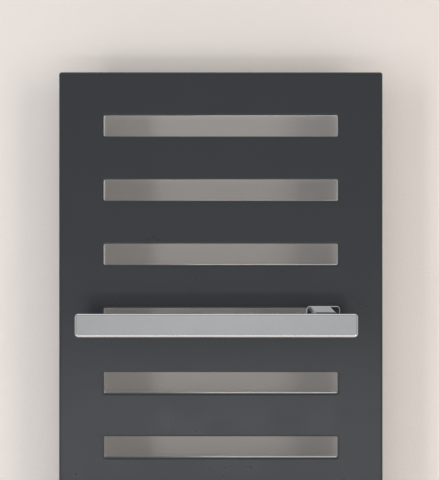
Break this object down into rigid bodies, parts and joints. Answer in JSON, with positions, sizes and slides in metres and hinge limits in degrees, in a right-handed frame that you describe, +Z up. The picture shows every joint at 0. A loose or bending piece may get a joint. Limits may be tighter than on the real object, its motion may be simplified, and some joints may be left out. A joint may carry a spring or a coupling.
{
  "type": "panel towel radiator with valve",
  "caption": "Tall flat slotted steel panel radiator on wall fixings, with a one-sided chrome towel rail and a bottom centre valve block with shut-offs and a thermostatic head.",
  "frame": {"origin": "on the wall plane, at the centre of the four wall fixings, which is the panel's mid height and centreline", "axes": "+X to the right and +Z up as seen from the room, +Y into the wall, so the front faces -Y"},
  "size_m": [0.6, 0.17, 1.285],
  "materials": {
    "radiator_paint": "fine-textured anthracite powder coat",
    "chrome": "polished nickel-chrome plate",
    "brass": "turned, uncoated",
    "zinc_steel": "bright zinc plate",
    "spring_steel": "drawn wire",
    "rubber": "moulded EPDM",
    "ptfe": "turned PTFE",
    "black_plastic": "moulded, fine grain",
    "white_plastic": "moulded, satin"
  },
  "bodies": {
    "radiator": {"front_panel": "radiator_paint", "flat_tube_01": "radiator_paint", "flat_tube_02": "radiator_paint", "flat_tube_03": "radiator_paint", "flat_tube_04": "radiator_paint", "flat_tube_05": "radiator_paint", "flat_tube_06": "radiator_paint", "flat_tube_07": "radiator_paint", "flat_tube_08": "radiator_paint", "flat_tube_09": "radiator_paint", "flat_tube_10": "radiator_paint", "collector_left": "radiator_paint", "collector_right": "radiator_paint", "collector_cap_top_left": "radiator_paint", "collector_cap_top_right": "radiator_paint", "collector_cap_foot_left": "radiator_paint", "collector_cap_foot_right": "radiator_paint", "foot_manifold": "radiator_paint", "flow_divider": "radiator_paint", "supply_socket": "radiator_paint", "return_socket": "radiator_paint", "vent_plug": "chrome", "blanking_plug": "chrome", "plug_seals": "rubber", "bracket_pins": "radiator_paint", "wall_sleeves": "radiator_paint", "sleeve_grub_screws": "zinc_steel", "towel_rail": "chrome", "towel_bracket": "chrome", "towel_pad": "rubber", "towel_clamp_plate": "zinc_steel", "towel_clamp_screws": "zinc_steel", "towel_rail_screws": "zinc_steel", "supply_nipple": "brass", "return_nipple": "brass", "supply_union_nut": "chrome", "return_union_nut": "chrome", "nipple_seals": "rubber", "valve_body": "chrome", "ball_seat_rings": "ptfe", "ball_seat_retainers": "brass", "insert_body": "brass", "insert_spring": "spring_steel", "insert_gland_ring": "rubber", "thermostat_nut": "chrome", "thermostat_base": "black_plastic", "thermostat_scale_ring": "white_plastic", "thermostat_relief_spring": "spring_steel"},
    "handwheel": {"thermostat_handwheel": "white_plastic"},
    "sensor": {"thermostat_sensor": "black_plastic", "thermostat_push_rod": "black_plastic"},
    "valve_pin": {"valve_pin": "zinc_steel", "valve_disc": "rubber"},
    "supply_shutoff": {"supply_shutoff_ball": "brass", "supply_shutoff_stem": "brass"},
    "return_shutoff": {"return_shutoff_ball": "brass", "return_shutoff_stem": "brass"},
    "vent_screw": {"vent_screw": "brass"}
  },
  "joints": [
    {"name": "thermostat_turn", "type": "hinge", "parent": "radiator", "child": "handwheel", "pos_m": [0.098, -0.0625, -0.662], "axis": [1, 0, 0], "range_deg": [-145, 145]},
    {"name": "sensor_travel", "type": "slide", "parent": "radiator", "child": "sensor", "axis": [1, 0, 0], "range_m": [-0.00126, 0.00126], "deforming": ["thermostat_relief_spring"]},
    {"name": "valve_pin_travel", "type": "slide", "parent": "radiator", "child": "valve_pin", "axis": [1, 0, 0], "range_m": [-0.00126, 0.00126], "deforming": ["insert_spring"]},
    {"name": "supply_shutoff_turn", "type": "hinge", "parent": "radiator", "child": "supply_shutoff", "pos_m": [0.025, -0.076, -0.64], "axis": [0, 1, 0], "range_deg": [0, 90]},
    {"name": "return_shutoff_turn", "type": "hinge", "parent": "radiator", "child": "return_shutoff", "pos_m": [-0.025, -0.076, -0.64], "axis": [0, 1, 0], "range_deg": [0, 90]},
    {"name": "vent_screw_turn", "type": "hinge", "parent": "radiator", "child": "vent_screw", "pos_m": [0.258, -0.0625, 0.592], "axis": [0, 0, 1], "range_deg": [0, 360]}
  ],
  "couplings": [
    {"joint": "sensor_travel", "follows": "thermostat_turn", "m_per_rad": 0.000494},
    {"joint": "valve_pin_travel", "follows": "thermostat_turn", "m_per_rad": 0.000494}
  ]
}
